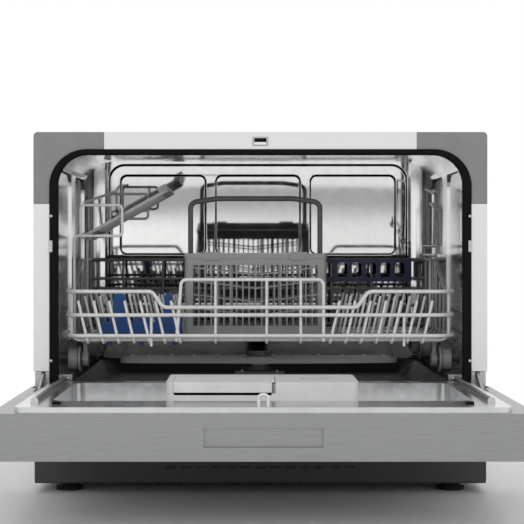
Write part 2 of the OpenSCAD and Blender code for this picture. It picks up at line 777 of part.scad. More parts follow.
module shelf_hangers() color("#b5b3af") at_front() {
    // left: loops that also guard the shelf's ends, the rear one on a raised arm
    mirror([1, 0, 0]) {
        bent_wire([
            [hanger_x, hanger_front, low_z], [hanger_x, hanger_front, pivot_z],
            [175, hanger_front, pivot_z], [175, hanger_front, pivot_z + loop_h],
            [pivot_x + 4, hanger_front, pivot_z + loop_h], [pivot_x + 4, hanger_front, pivot_z + 0.5]
        ], [5, 5, 5, 5], wire_d);
        bent_wire([
            [hanger_x, hanger_rear, low_z], [hanger_x, hanger_rear, pivot_z],
            [pivot_x - 10, hanger_rear, pivot_z], [pivot_x - 32, hanger_rear, pivot_z + rear_step],
            [152, hanger_rear, pivot_z + rear_step], [152, hanger_rear, pivot_z + rear_step + rear_loop_h],
            [206, hanger_rear, pivot_z + rear_step + rear_loop_h], [206, hanger_rear, pivot_z + 9]
        ], [5, 8, 8, 5, 5, 5], wire_d);
        // the guard wire that joins the two loops
        rod([pivot_x, hanger_front - 3, pivot_z + loop_h + step],
            [198, hanger_rear + 3, pivot_z + rear_step + rear_loop_h + step], wire_d);
    }
    // right: plain arms
    for (y = [right_front, hanger_rear]) bent_wire([
        [hanger_x, y, low_z], [hanger_x, y, frame_pivot_z], [pivot_x - 1, y, frame_pivot_z]
    ], [5], wire_d);
    // each shelf turns on a rod that its two hangers carry
    rod([-pivot_x, hanger_front - 3, pivot_z], [-pivot_x, hanger_rear + 3, pivot_z], shelf_rod_d);
    rod([pivot_x, right_front - 3, frame_pivot_z], [pivot_x, hanger_rear + 3, frame_pivot_z], shelf_rod_d);
}

comb_y = 92;
comb_t = 4;
comb_left = -201;
comb_right = -98;
comb_slots = [-194, -162, -148, -134, -104];

// A blade of the comb that narrows towards its top, over its foot's middle.
module comb_blade(x, w, top) polygon([
    [x - w / 2, rack_z + 8], [x - w / 2 + 2, top - 5], [x, top], [x + w / 2 - 2, top - 5], [x + w / 2, rack_z + 8]
]);

module plate_comb() color("#123f86") at_front() {
    deep(comb_y, comb_y + comb_t) {
        difference() {
            translate([comb_left, rack_z + 1.6]) square([comb_right - comb_left, 29]);
            for (x = comb_slots) bar([x, rack_z + 22], [x, rack_z + 34], 2.6);
        }
        // feet that clip between the floor wires
        for (x = [-190, -150, -108]) translate([x - 3, rack_z - 10]) square([6, 14]);
    }
    deep(comb_y + 0.3, comb_y + comb_t - 0.3) {
        comb_blade(-178, 19, 242);
        comb_blade(-116, 13, 242);
    }
}

// The rail lies against the rack's rear uprights.
rail_back = rack_rear_y - step - wire_d / 2 + 0.4;

module glass_rail() color("#0c1740") at_front() translate([0, rail_back - 4, 0]) difference() {
    span([87, 0, 250], [219, 4, 283]);
    for (k = [0 : 5]) deep(-1, 5) rounded([93 + 20.5 * k, 256], [107 + 20.5 * k, 277], 4);
}

// ---------------------------------------------------------------- wheels

wheel_z = rail_z + gap + wheel_r;
wheel_x = tub_half - 18;
carrier_x = wheel_x - 13.5;
flange_r = wheel_r + 2.6;
flange_w = 2.4;
axle_r = 3;
wheel_ys = [84, rack_rear_y - 48];

module wheel_carriers() color("#7f8182") at_front() both_sides() for (y = wheel_ys) {
    translate([carrier_x, y, wheel_z]) rotate([0, 90, 0]) cylinder(r = axle_r, h = wheel_x + wheel_w - carrier_x);
    translate([carrier_x, y, wheel_z]) rotate([0, 90, 0]) cylinder(r = 9, h = 7);
    span([carrier_x + 1, y - 6, wheel_z], [carrier_x + 6, y + 6, rack_z - 2]);
    span([carrier_x - 11, y - 9, rack_z - 6], [carrier_x + 8, y + 9, rack_z - 1.2]);
}

module wheel() rotate([0, 90, 0]) difference() {
    union() {
        cylinder(r = wheel_r, h = wheel_w);
        translate([0, 0, -flange_w - 1.5]) cylinder(r = flange_r, h = flange_w);
        translate([0, 0, -2]) cylinder(r = wheel_r - 2, h = 3);
    }
    translate([0, 0, -8]) cylinder(r = axle_r + fit, h = 30);
    difference() {
        translate([0, 0, wheel_w - 2.5]) cylinder(r = wheel_r - 3, h = 4);
        translate([0, 0, wheel_w - 3]) cylinder(r = 6, h = 6);
    }
}

module wheel_at(side, y) color("#8c8c8c") at_front() mirror([side < 0 ? 1 : 0, 0, 0])
    translate([wheel_x, y, wheel_z]) wheel();

module wheel_front_left() wheel_at(-1, wheel_ys[0]);
module wheel_front_right() wheel_at(1, wheel_ys[0]);
module wheel_rear_left() wheel_at(-1, wheel_ys[1]);
module wheel_rear_right() wheel_at(1, wheel_ys[1]);

// ---------------------------------------------------------------- cup shelves

eye_r = shelf_rod_d / 2 + 2.2;
shelf_t = 4;
shelf_y0 = hanger_front + 8;
shelf_y1 = shelf_y0 + shelf_d;
wire_y0 = right_front + 8;
wire_y1 = wire_y0 + wire_shelf_d;

// Flat shelf lying along -X from its pivot at the origin.
module shelf_plate() {
    difference() {
        union() {
            difference() {
                translate([0, 0, -shelf_t / 2]) linear_extrude(shelf_t)
                    rounded([-shelf_len, shelf_y0], [-6, shelf_y1], 10);
                for (k = [0 : 4]) translate([0, 0, -shelf_t]) linear_extrude(2 * shelf_t)
                    rounded([-shelf_len + 10, shelf_y0 + 10 + 27 * k], [-16, shelf_y0 + 31 + 27 * k], 4);
            }
            for (y = [shelf_y0, (shelf_y0 + shelf_y1) / 2 - 8, shelf_y1 - 16]) {
                translate([0, y, 0]) rotate([-90, 0, 0]) cylinder(r = eye_r, h = 16);
                span([-12, y, -shelf_t / 2], [0, y + 16, shelf_t / 2]);
            }
            // rail with teeth along the free edge
            span([-shelf_len + 2, shelf_y0 + 6, 0], [-shelf_len + 5, shelf_y1 - 6, 6]);
            for (k = [0 : 5]) span([-shelf_len + 2, shelf_y0 + 8 + 25 * k, 0], [-shelf_len + 14, shelf_y0 + 17 + 25 * k, 9]);
        }
        translate([0, shelf_y0 - 1, 0]) rotate([-90, 0, 0]) cylinder(r = shelf_rod_d / 2 + fit, h = shelf_d + 2);
    }
}

// Wire shelf lying along -X from its pivot at the origin: a high loop at the back
// and a lower one at the front, whose edge carries two sleeves.
module shelf_frame() difference() {
    low = frame_len - 20;
    front = frame_len - 33;
    union() {
        for (y = [wire_y0, wire_y1 - 12]) translate([0, y, 0]) rotate([-90, 0, 0]) cylinder(r = eye_r, h = 12);
        bent_wire([
            [-eye_r + 1, wire_y1 - 6, 0], [-frame_len, wire_y1 - 6, 0],
            [-frame_len + 11, wire_y0 + 52, 0], [-12, wire_y0 + 52, 0]
        ], [6, 6], wire_d);
        bent_wire([
            [-12, wire_y1 - 38, step], [-low, wire_y1 - 38, step],
            [-front, wire_y0 + 6, step], [-12, wire_y0 + 6, step]
        ], [6, 6], wire_d);
        rod([-12, wire_y0 + 6, 0], [-12, wire_y1 - 6, 0], wire_d);
        for (y = [wire_y0 + 6, wire_y1 - 6]) rod([-eye_r + 1, y, 0], [-12, y, 0], wire_d);
        for (k = [[0.12, 0.4], [0.52, 0.8]]) rod(along_edge(k[0], front, low), along_edge(k[1], front, low), 6);
    }
    translate([0, wire_y0 - 1, 0]) rotate([-90, 0, 0]) cylinder(r = shelf_rod_d / 2 + fit, h = wire_shelf_d + 2);
}

// A place on the front loop's free edge, as a part of its length.
function along_edge(k, front, low) = [
    -front - (low - front) * k, wire_y0 + 6 + (wire_shelf_d - 44) * k, step
];

module cup_shelf_left() color("#a2a3a3") at_front() translate([-pivot_x, 0, pivot_z])
    rotate([0, -shelf_tilt, 0]) mirror([1, 0, 0]) shelf_plate();

module cup_shelf_right() color("#8d8d8b") at_front() translate([pivot_x, 0, frame_pivot_z])
    rotate([0, 92, 0]) shelf_frame();

// ---------------------------------------------------------------- cutlery basket

basket_x = -5.5;
basket_y = 80;
basket_z = rack_z + 1.6;
grille_from = 14;
grille_to = basket_h - 14.5;
grille_cols = 20;
grille_rib = 1.8;
row_h = 17;
row_sag = 9.5;

// The ribs between the rows sag towards the middle of the wall.
function rib_at(x, j) = grille_to - 3 - row_h * j - row_sag * (1 - abs(x - basket_w / 2) / (basket_w / 2 - 10));
function row_top(x, j) = j == 0 ? grille_to : rib_at(x, j - 1) - 0.7;
function row_low(x, j) = j == 4 ? grille_from : rib_at(x, j) + 0.7;

module long_wall_windows() {
    pitch = (basket_w - 20) / grille_cols;
    for (i = [0 : grille_cols - 1], j = [0 : 4]) {
        x0 = 10 + pitch * i + grille_rib / 2;
        x1 = x0 + pitch - grille_rib;
        polygon([[x0, row_low(x0, j)], [x1, row_low(x1, j)], [x1, row_top(x1, j)], [x0, row_top(x0, j)]]);
    }
}

module end_wall_windows() {
    pitch = (basket_d - 20) / 6;
    for (i = [0 : 5], j = [0 : 3])
        translate([10 + pitch * i + 1, grille_from + row_h * j]) square([pitch - 2, row_h - 2]);
}

module cutlery_basket() color("#7d7d7d") at_front() translate([basket_x - basket_w / 2, basket_y, basket_z]) {
    w = basket_w;
    d = basket_d;
    difference() {
        linear_extrude(basket_h) rounded([0, 0], [w, d], 6);
        translate([0, 0, basket_wall]) linear_extrude(basket_h)
            rounded([basket_wall, basket_wall], [w - basket_wall, d - basket_wall], 4);
        deep(-1, d + 1) long_wall_windows();
        wide(-1, w + 1) end_wall_windows();
    }
    // rim bead
    translate([0, 0, basket_h - 6]) linear_extrude(6) difference() {
        rounded([-1, -1], [w + 1, d + 1], 7);
        rounded([1, 1], [w - 1, d - 1], 5);
    }
    // walls between the three compartments
    for (k = [1, 2]) span([w * k / 3 - 1, basket_wall, basket_wall], [w * k / 3 + 1, d - basket_wall, basket_h - 12]);
    // two lid clips on the rim
    for (x = [24, w - 46]) span([x, -2.2, basket_h - 8], [x + 22, basket_wall, basket_h + 2]);
    // pins that the handle turns on, inside the end walls
    for (x = [basket_wall - eps, w - basket_wall - eye_t - 1])
        translate([x, d / 2, pin_h]) rotate([0, 90, 0]) cylinder(r = handle_pin_r, h = eye_t + 1 + eps);
}

handle_d = 6.6;
handle_pin_r = 2.6;
handle_eye_r = 6;
eye_t = 4;
pin_h = basket_h - 9;
handle_top = 356;

module cutlery_handle() color("#4a4a4a") at_front() {
    x0 = basket_x - basket_w / 2 + basket_wall + 0.5;
    x1 = basket_x + basket_w / 2 - basket_wall - 0.5 - eye_t;
    y = basket_y + basket_d / 2;
    z = basket_z + pin_h;
    leg = handle_d / 2 + 0.2;
    difference() {
        union() {
            bent_wire([
                [x0 + leg, y, z + 4], [x0 + leg, y, handle_top], [x0 + 38, y, handle_top + 5],
                [x1 + eye_t - 38, y, handle_top + 5], [x1 + eye_t - leg, y, handle_top],
                [x1 + eye_t - leg, y, z + 4]
            ], [9, 60, 60, 9], handle_d);
            for (x = [x0, x1]) translate([x, y, z]) rotate([0, 90, 0]) cylinder(r = handle_eye_r, h = eye_t);
        }
        translate([x0 - 1, y, z]) rotate([0, 90, 0]) cylinder(r = handle_pin_r + fit, h = x1 - x0 + eye_t + 2);
    }
}

// ---------------------------------------------------------------- door, drawn open from the hinge pin

module door_panel() color("#c8c9ca") at_hinge() difference() {
    translate([0, 0, skin_v]) linear_extrude(side_v - skin_v)
        rounded([-half_w, -door_len], [half_w, door_end], 6);
    // the hollow that the liner covers
    translate([0, 0, skin_v + 2]) linear_extrude(door_t)
        rounded([-liner_half + 2, -door_len + 6], [liner_half - 2, door_end - 4], 10);
    // pockets round the hinges
    both_sides() span([pocket_from, -16, -hinge_out + 2], [pocket_to, door_end + 1, side_v + 1]);
    both_sides() span([arm_x, -60, -12], [arm_x + arm_t, -15, side_v + 1]);
    // window for the control panel in the outer skin
    span([-230, -door_len + 22, skin_v - 1], [230, -door_len + 72, skin_v + 3]);
    // finger grip
    span([-60, -door_len - 1, skin_v + 14], [60, -door_len + 5, skin_v + 34]);
}

rail_from = 11;
rail_to = 270;

module door_liner() color("#d5d6d7") at_hinge() {
    difference() {
        union() {
            translate([0, 0, rim_v - liner_t]) linear_extrude(liner_t)
                rounded([-liner_half, -door_len + 4], [liner_half, 20], 8);
            translate([0, 0, side_v]) linear_extrude(rim_v - side_v) difference() {
                rounded([-liner_half, -door_len + 4], [liner_half, 20], 8);
                rounded([-liner_half + liner_t, -door_len + 4 + liner_t], [liner_half - liner_t, 20 - liner_t], 6.5);
            }
            translate([0, 0, rim_v - recess_depth - liner_t]) linear_extrude(recess_depth)
                rounded([-recess_half - liner_t, -recess_to - liner_t], [recess_half + liner_t, -recess_from + liner_t], 20);
            // bead rails that carry the rack when it is pulled out
            both_sides() rotate([90, 0, 0]) translate([0, 0, -rail_from]) linear_extrude(rail_from + rail_to) {
                translate([rail_x, rail_z - hinge_z - rail_w / 2]) circle(d = rail_w);
                translate([rail_x - rail_w / 2, rim_v - liner_t]) square([rail_w, rail_z - hinge_z - rail_w / 2 - rim_v + liner_t]);
            }
        }
        translate([0, 0, rim_v - recess_depth]) linear_extrude(recess_depth + 1)
            rounded([-recess_half, -recess_to], [recess_half, -recess_from], 18.5);
    }
}

board_t = 1.6;
button_x = [150, 0, -150];
button_r = 7;

module control_panel() color("#303235") at_hinge() difference() {
    span([-230, -door_len + 22, skin_v], [230, -door_len + 72, skin_v + 8]);
    span([-227, -door_len + 25, skin_v + 3], [227, -door_len + 69, skin_v + 9]);
    for (x = button_x) translate([x, -door_len + 47, skin_v - 1]) cylinder(r = button_r + gap, h = 12);
    span([-40 + 75, -door_len + 36, skin_v - 1], [40 + 75, -door_len + 58, skin_v + 1]);
}

module control_board() color("#1f5a38") at_hinge() difference() {
    span([-229, -door_len + 24, skin_v + 8], [229, -door_len + 70, skin_v + 8 + board_t]);
    for (x = button_x) translate([x, -door_len + 47, skin_v]) cylinder(r = 3, h = 12);
}

module button(x) color("#b9bbbd") at_hinge() translate([x, -door_len + 47, skin_v - 1.5]) {
    cylinder(r = button_r, h = 8);
    translate([0, 0, 4.8 + gap]) cylinder(r = button_r + 2, h = 1.5);
}

module power_button() button(button_x[0]);
module program_button() button(button_x[1]);
module start_button() button(button_x[2]);

module arm_outline() {
    hull() {
        circle(r = 10);
        translate([-52, 0]) circle(r = 7);
    }
    hull() {
        translate([-2, 0]) circle(r = 8);
        translate([31, 28]) circle(r = 5);
        translate([-26, 4]) circle(r = 4);
    }
}

module hinge_arms() color("#b4b6b8") at_hinge() both_sides() difference() {
    wide(arm_x, arm_x + arm_t) arm_outline();
    translate([arm_x - 1, 0, 0]) rotate([0, 90, 0]) cylinder(r = pin_d / 2 + fit, h = arm_t + 2);
}

hook_w = 13;
hook_d = 3.6;

module latch_hook() color("#dadbdc") at_hinge() {
    bent_wire([
        [-hook_w / 2 + hook_d / 2, -hook_u, rim_v], [-hook_w / 2 + hook_d / 2, -hook_u, rim_v + 14 - hook_d / 2],
        [hook_w / 2 - hook_d / 2, -hook_u, rim_v + 14 - hook_d / 2], [hook_w / 2 - hook_d / 2, -hook_u, rim_v]
    ], [4, 4], hook_d);
}

disp_u = 104;
disp_top = 39;
floor_v = rim_v - recess_depth;
lid_x0 = -95;
lid_x1 = lid_x0 + lid_w;
lid_depth = 74;
lid_u = disp_u + disp_d - lid_depth - 8;
lid_z0 = disp_top - lid_t;
barrel_r = 1.6;
barrel_x = lid_x1 + 1.6;
barrel_z = disp_top + 0.2;

module dispenser_body() color("#c8c9c9") at_hinge() difference() {
    translate([0, 0, floor_v]) linear_extrude(disp_top - floor_v)
        rounded([-disp_w / 2, -disp_u - disp_d], [disp_w / 2, -disp_u], 8);
    // ledge that the lid lies in
    span([lid_x0 - gap, -lid_u - lid_depth - gap, lid_z0 - gap], [lid_x1 + 4, -lid_u + gap, disp_top + 1]);
    span([lid_x0 - gap, -disp_u - disp_d - 1, disp_top - 12 - gap], [lid_x1 + 4, -lid_u - lid_depth + 1, disp_top + 1]);
    // detergent cup
    translate([0, 0, floor_v + 4]) linear_extrude(40)
        rounded([lid_x0 + 8, -lid_u - lid_depth + 10], [lid_x1 - 12, -lid_u - 8], 10);
    translate([58, -disp_u - 55, floor_v + 6]) cylinder(r = 17, h = 40);
}

module dispenser_lid() color("#cfd0d0") at_hinge() difference() {
    union() {
        span([lid_x0, -lid_u - lid_depth, lid_z0], [lid_x1, -lid_u, disp_top]);
        span([lid_x0, -disp_u - disp_d - 0.5, disp_top - 11], [lid_x1, -disp_u - disp_d + 2.5, disp_top]);
        span([lid_x0, -disp_u - disp_d - 0.5, lid_z0], [lid_x1, -lid_u - lid_depth + 1, disp_top]);
        // the barrel that the lid turns on, over the hinge wire
        translate([barrel_x, -lid_u - 2, barrel_z]) rotate([90, 0, 0]) cylinder(r = barrel_r, h = lid_depth - 4);
        span([lid_x1 - 1, -lid_u - lid_depth + 2, barrel_z - 1.5], [barrel_x, -lid_u - 2, barrel_z - 0.5]);
    }
    span([-50, -disp_u - disp_d - 1, disp_top - 8], [-35, -disp_u - disp_d, disp_top - 4]);
}

module rinse_cap() color("#b9babb") at_hinge() translate([58, -disp_u - 55, floor_v + 6]) {
    cylinder(r = 16.7, h = disp_top - floor_v - 6);
    translate([-12, -2, disp_top - floor_v - 6]) cube([24, 4, 3]);
}

// ---------------------------------------------------------------- nodes

base_tray();
cabinet_wrap();
rear_panel();
front_frame();
corner_covers();
tub_wrap();
tub_back();
tub_floor();
door_gasket();
sill_seal();
latch_bezel();
latch_catch();
plinth();
feet();
hinge_brackets();
hinge_pins();
door_springs();
sump();
fine_filter();
circulation_pump();
drain_pump();
heater();
inlet_valve();
drain_spigot();
cord_gland();
rail_ends();
spray_hub();
filter_cup();
spray_arm();
spray_nut();
rack_floor();
rack_front();
rack_rear();
rack_side_left();
rack_side_right();
plate_tines();
shelf_hangers();
plate_comb();
glass_rail();
wheel_carriers();
wheel_front_left();
wheel_front_right();
wheel_rear_left();
wheel_rear_right();
cup_shelf_left();
cup_shelf_right();
cutlery_basket();
cutlery_handle();
door_panel();
door_liner();
control_panel();
control_board();
hinge_arms();
latch_hook();
dispenser_body();
dispenser_lid();
rinse_cap();
power_button();
program_button();
start_button();
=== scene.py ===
"""Countertop dishwasher with its door open: finishes, trim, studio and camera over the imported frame.

Metres, +Z up, -Y towards the user. Names that end in _mm hold millimetres.
"""
import json
import math

import bpy
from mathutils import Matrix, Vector


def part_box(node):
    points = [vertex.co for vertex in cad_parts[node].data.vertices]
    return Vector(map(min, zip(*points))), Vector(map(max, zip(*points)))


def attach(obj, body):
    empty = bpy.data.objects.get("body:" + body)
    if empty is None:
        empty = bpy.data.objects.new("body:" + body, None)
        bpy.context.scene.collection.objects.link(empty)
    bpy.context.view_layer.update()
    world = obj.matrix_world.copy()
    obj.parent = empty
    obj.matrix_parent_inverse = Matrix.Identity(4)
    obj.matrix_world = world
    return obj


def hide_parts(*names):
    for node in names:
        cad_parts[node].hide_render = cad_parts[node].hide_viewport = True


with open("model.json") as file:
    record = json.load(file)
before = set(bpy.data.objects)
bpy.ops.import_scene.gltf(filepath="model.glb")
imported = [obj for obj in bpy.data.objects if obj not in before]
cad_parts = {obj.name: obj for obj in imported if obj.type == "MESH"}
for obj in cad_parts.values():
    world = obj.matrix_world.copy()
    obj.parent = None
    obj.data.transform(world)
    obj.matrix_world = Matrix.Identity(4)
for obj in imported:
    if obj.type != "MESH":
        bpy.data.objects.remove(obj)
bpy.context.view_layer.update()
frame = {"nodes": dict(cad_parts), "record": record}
nodes = frame["nodes"]
body_of = {node: body for body, members in frame["record"]["behaviour"]["bodies"].items() for node in members}

MM = 0.001
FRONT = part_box("front_frame")[0][1]  # the plane of the frame round the opening
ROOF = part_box("front_frame")[1][2]
RIM = 0.137  # the height of the open door's inner rim
SIDES = ((-1, "left"), (1, "right"))


# ---------------------------------------------------------------- colours and nodes

# A noise pattern keeps mostly between these two values.
SPOTS_LOW, SPOTS_HIGH = 0.3, 0.7


def linear(hex_colour):
    """An sRGB hex value as the linear colour that a shader takes."""
    channels = [int(hex_colour[i : i + 2], 16) / 255 for i in (1, 3, 5)]
    return tuple(c / 12.92 if c <= 0.04045 else ((c + 0.055) / 1.055) ** 2.4 for c in channels) + (1.0,)


def add(tree, kind, values=None, links=None, **settings):
    """Adds a node with its settings, the values of its inputs and the links into them."""
    node = tree.nodes.new(kind)
    for key, value in settings.items():
        setattr(node, key, value)
    for key, value in (values or {}).items():
        node.inputs[key].default_value = value
    for key, source in (links or {}).items():
        tree.links.new(source, node.inputs[key])
    return node


def new_material(name, **shader_values):
    """An empty material with one surface shader; returns it with its tree and shader."""
    material = bpy.data.materials.new(name)
    material.use_nodes = True
    tree = material.node_tree
    tree.nodes.clear()
    shader = add(tree, "ShaderNodeBsdfPrincipled", {k.replace("_", " "): v for k, v in shader_values.items()})
    add(tree, "ShaderNodeOutputMaterial", links={"Surface": shader.outputs["BSDF"]})
    return material, tree, shader


def spots(tree, size_mm, stretch=(1, 1, 1), detail=2.0):
    """An uneven pattern from 0 to 1, with spots of about size_mm that stretch draws out along an axis."""
    place = add(tree, "ShaderNodeTexCoord")
    run = add(
        tree, "ShaderNodeMapping", {"Scale": [1 / s for s in stretch]}, {"Vector": place.outputs["Object"]}
    )
    noise = add(
        tree,
        "ShaderNodeTexNoise",
        {"Scale": 1 / (size_mm * MM), "Detail": detail},
        {"Vector": run.outputs["Vector"]},
    )
    return noise.outputs["Fac"]


def textured(tree, shader, tint, shine, relief):
    """Lets patterns drive the shader's colour, roughness and relief; returns the relief's normal.

    tint is a pattern with its dark and light colour, shine a pattern with its two ends of roughness, and
    relief a pattern with its height in millimetres and its strength.
    """
    fac, dark, light = tint
    colour = add(tree, "ShaderNodeValToRGB", links={"Fac": fac})
    for stop, place, value in zip(colour.color_ramp.elements, (SPOTS_LOW, SPOTS_HIGH), (dark, light)):
        stop.position = place
        stop.color = linear(value)
    fac, low, high = shine
    roughness = add(
        tree,
        "ShaderNodeMapRange",
        {"From Min": SPOTS_LOW, "From Max": SPOTS_HIGH, "To Min": low, "To Max": high},
        {"Value": fac},
    )
    fac, height_mm, strength = relief
    bump = add(tree, "ShaderNodeBump", {"Strength": strength, "Distance": height_mm * MM}, {"Height": fac})
    tree.links.new(colour.outputs["Color"], shader.inputs["Base Color"])
    tree.links.new(roughness.outputs["Result"], shader.inputs["Roughness"])
    tree.links.new(bump.outputs["Normal"], shader.inputs["Normal"])
    return bump.outputs["Normal"]


# ---------------------------------------------------------------- finishes


def brushed_stainless(name, dark, light, along, roughness=(0.3, 0.42)):
    """Cold-rolled 430 stainless, brushed: fine parallel scratches that smear reflections across them.

    Real scratches are under 0.1 mm wide. They are drawn at 0.5 mm, so that they show.
    """
    material, tree, shader = new_material(name, Metallic=0.85)
    grain = spots(tree, 0.5, along)
    textured(tree, shader, (grain, dark, light), (grain, *roughness), (grain, 0.02, 0.2))
    return material


def bright_stainless(name, dark, light, roughness=(0.1, 0.2), wave_mm=60, lean=0.0, metallic=1.0):
    """Bright-annealed stainless, deep drawn: near mirror, with slow waves left by the press.

    A sheet with a lean, in degrees, is dished a little, so that its reflections come from lower down.
    """
    material, tree, shader = new_material(name, Metallic=metallic)
    waves = spots(tree, wave_mm, detail=1.0)
    smears = spots(tree, 14, detail=4.0)
    pressed = textured(tree, shader, (smears, dark, light), (smears, *roughness), (waves, 0.5, 0.06))
    if lean:
        place = add(tree, "ShaderNodeTexCoord")
        axes = add(tree, "ShaderNodeSeparateXYZ", links={0: place.outputs["Object"]})
        dish = add(
            tree,
            "ShaderNodeBump",
            {"Strength": 1.0, "Distance": math.tan(math.radians(lean))},
            {"Height": axes.outputs["Z"], "Normal": pressed},
        )
        tree.links.new(dish.outputs["Normal"], shader.inputs["Normal"])
    return material


def moulded(name, dark, light, grain_mm=0.6, roughness=(0.38, 0.5), height_mm=0.03, **values):
    """Injection-moulded plastic: even colour, soft shine and a fine texture from the tool.

    The texture of a real tool is about 0.2 mm. It is drawn coarser, so that it shows.
    """
    material, tree, shader = new_material(name, IOR=1.49, **values)
    clouds = spots(tree, 25, detail=3.0)
    grain = spots(tree, grain_mm)
    textured(tree, shader, (clouds, dark, light), (clouds, *roughness), (grain, height_mm, 0.5))
    return material


def coated_wire(name, dark, light):
    """Steel wire dipped in nylon: a thick smooth skin, slightly uneven, with a satin shine."""
    material, tree, shader = new_material(name, IOR=1.53, Coat_Weight=0.35, Coat_Roughness=0.2)
    dips = spots(tree, 9)
    textured(tree, shader, (dips, dark, light), (dips, 0.28, 0.42), (dips, 0.12, 0.4))
    return material


def plated_steel(name, dark, light, roughness=(0.28, 0.45)):
    """Zinc-plated pressed steel: greyish metal with faint cloudy spangle."""
    material, tree, shader = new_material(name, Metallic=1.0)
    spangle = spots(tree, 5, detail=3.0)
    textured(tree, shader, (spangle, dark, light), (spangle, *roughness), (spangle, 0.03, 0.3))
    return material


def painted_sheet(name, dark, light):
    """Silver powder coat on sheet steel: fine orange peel and a little metal flake.

    Real flake is under 0.1 mm. It is drawn at 0.5 mm, so that it shows.
    """
    material, tree, shader = new_material(name, Metallic=0.35, Coat_Weight=0.15, Coat_Roughness=0.3)
    peel = spots(tree, 1.4)
    flake = spots(tree, 0.5, detail=1.0)
    textured(tree, shader, (flake, dark, light), (peel, 0.36, 0.48), (peel, 0.05, 0.4))
    return material


def soft_rubber(name, dark, light):
    """Extruded EPDM: near black, matt, with a faint drawn grain and a dusty edge sheen."""
    material, tree, shader = new_material(name, IOR=1.5, Specular_IOR_Level=0.12)
    drawn = spots(tree, 1.2)
    textured(tree, shader, (drawn, dark, light), (drawn, 0.45, 0.62), (drawn, 0.05, 0.4))
    return material


def perforated_stainless(name, pitch_mm):
    """Etched stainless filter sheet: a close field of small round holes, painted as dark spots in its colour;
    the dark is painted shade for what shows through each hole.

    The real holes stand about 1 mm apart. A wider pitch lets them show.
    """
    material, tree, shader = new_material(name, Metallic=1.0)
    place = add(tree, "ShaderNodeTexCoord")
    cells = add(
        tree,
        "ShaderNodeTexVoronoi",
        {"Scale": 1 / (pitch_mm * MM), "Randomness": 0.0},
        {"Vector": place.outputs["Object"]},
        voronoi_dimensions="2D",
    )
    # Dark at each cell's middle: painted shade in the holes.
    holes = cells.outputs["Distance"]
    textured(tree, shader, (holes, "#26282a", "#a9abac"), (holes, 0.6, 0.3), (holes, 0.3, 0.6))
    return material


ACROSS = (60, 1, 1)  # scratches that run from side to side
DULL_SHINE = 0.2  # matt plastics that hardly mirror what is round them

FRONT_STEEL = brushed_stainless("brushed_stainless_front", "#dcdcdc", "#e6e6e6", ACROSS)
TUB_STEEL = bright_stainless("bright_stainless_tub", "#e6e6e6", "#eeeeee", (0.1, 0.15), metallic=0.96)
BACK_STEEL = bright_stainless("bright_stainless_back", "#dadada", "#e2e2e2", (0.03, 0.05), 140, 4.4)
# A dark copy of the tub's steel: painted dark reflection for the slopes of the pressed steps.
PAINTED_REFLECTION_STEEL = bright_stainless("bright_stainless_painted_dark_reflection", "#2c2c2c", "#3c3c3c", (0.2, 0.3))
DOOR_STEEL = brushed_stainless("brushed_stainless_door", "#919293", "#9b9c9d", ACROSS, (0.26, 0.36))
LINER_STEEL = bright_stainless("bright_stainless_liner", "#c9cacb", "#d6d7d8", (0.16, 0.26), 90)
CABINET_PAINT = painted_sheet("silver_powder_coat", "#cfd0d1", "#d8d9da")
ZINC_SHEET = plated_steel("zinc_plated_rear_sheet", "#b9bbbc", "#c8cacb")
ZINC_HINGE = plated_steel("zinc_plated_hinge", "#b2b4b6", "#c6c8ca")
SPRING_STEEL = plated_steel("oiled_spring_steel", "#77797b", "#8d8f92", (0.3, 0.4))
COVER_PLASTIC = moulded("grey_abs_corner_cover", "#7b7b7b", "#838383")
BEZEL_PLASTIC = moulded("silver_abs_bezel", "#aeafb0", "#bcbdbe", roughness=(0.3, 0.4))
SEAL_RUBBER = soft_rubber("epdm_door_seal", "#040505", "#070808")
CLIP_PLASTIC = moulded("pale_pom_clip", "#b9bab9", "#c6c7c6", 0.4, (0.3, 0.4), 0.02)
NOZZLE_PLASTIC = moulded("light_grey_pp_nozzle", "#c9cacb", "#d6d7d8", 0.5, (0.3, 0.4), 0.02)
FOOT_RUBBER = soft_rubber("rubber_foot", "#1b1c1e", "#232528")
BASE_PLASTIC = moulded("black_pp_base", "#28292b", "#2e3032", 1.2, (0.45, 0.6), 0.06)
TOE_PLASTIC = moulded("graphite_abs_toe_plate", "#37383a", "#3e3f41", 1.0, (0.4, 0.52), 0.05)
FLOOR_PLASTIC = moulded(
    "dark_grey_pp_tub_floor", "#2b2c2d", "#333435", 1.5, (0.4, 0.5), 0.04, Specular_IOR_Level=DULL_SHINE
)
RAIL_PLASTIC = moulded("grey_pp_rail_end", "#868889", "#8f9192")
ARM_PLASTIC = moulded("grey_pp_spray_arm", "#9fa0a1", "#ababac", 1.0, (0.3, 0.42))
DARK_PLASTIC = moulded("dark_grey_pp", "#3a3c3e", "#434547", 1.0, (0.35, 0.48))
GRIP_PLASTIC = moulded(
    "black_pp_filter_grip", "#0b0b0c", "#121213", 0.8, (0.4, 0.5), 0.03, Specular_IOR_Level=DULL_SHINE
)
NUT_PLASTIC = moulded("mid_grey_pp_nut", "#6b6d6f", "#747678")
# One nylon-coated wire in four tones: the floor, side and rear tones are the front wire painted darker, as
# painted shade deeper in the tub.
FRONT_WIRE = coated_wire("nylon_coated_wire_front", "#d2d2d0", "#dededc")
SHADED_FLOOR_WIRE = coated_wire("nylon_coated_wire_floor_painted_shade", "#b2b2b0", "#bfbfbd")
SHADED_SIDE_WIRE = coated_wire("nylon_coated_wire_side_painted_shade", "#8c8c8b", "#999998")
SHADED_REAR_WIRE = coated_wire("nylon_coated_wire_rear_painted_shade", "#6c6c6b", "#7a7a79")
COMB_PLASTIC = moulded("blue_pp_comb", "#0d3b74", "#11447f", 0.8, (0.32, 0.42))
